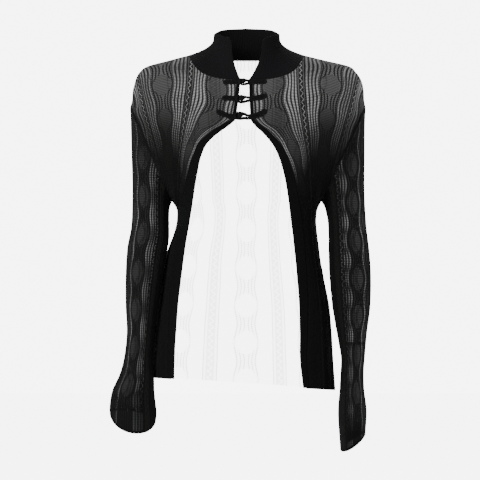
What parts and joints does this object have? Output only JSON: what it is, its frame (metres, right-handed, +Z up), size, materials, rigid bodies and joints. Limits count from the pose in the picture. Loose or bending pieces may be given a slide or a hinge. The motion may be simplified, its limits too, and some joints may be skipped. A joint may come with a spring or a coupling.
{
  "type": "jacket",
  "caption": "Black openwork knit jacket as worn: ribbed funnel collar, three cord frogs, cutaway fronts with narrow bands, dropped shoulders and bell sleeves",
  "frame": {"origin": "between the shoulders, level with the points where the shoulder seams meet the neck, where the jacket hangs from a wearer", "axes": "+Z up, the front faces -Y, +X to the viewer's right when facing the front"},
  "size_m": [0.4836, 0.2309, 0.7816],
  "materials": {
    "yarn_panel": "soft matt openwork knit",
    "yarn_collar": "soft matt rib knit",
    "yarn_band": "soft matt dense knit",
    "yarn_cord": "twisted cord with a slight sheen"
  },
  "bodies": {
    "root": {"back": "yarn_panel", "front_left": "yarn_panel", "front_right": "yarn_panel", "band_left": "yarn_band", "band_right": "yarn_band", "sleeve_left": "yarn_panel", "sleeve_right": "yarn_panel", "collar": "yarn_collar", "frog_1_knot": "yarn_cord", "frog_1_loop": "yarn_cord", "frog_2_knot": "yarn_cord", "frog_2_loop": "yarn_cord", "frog_3_knot": "yarn_cord", "frog_3_loop": "yarn_cord"}
  },
  "joints": []
}
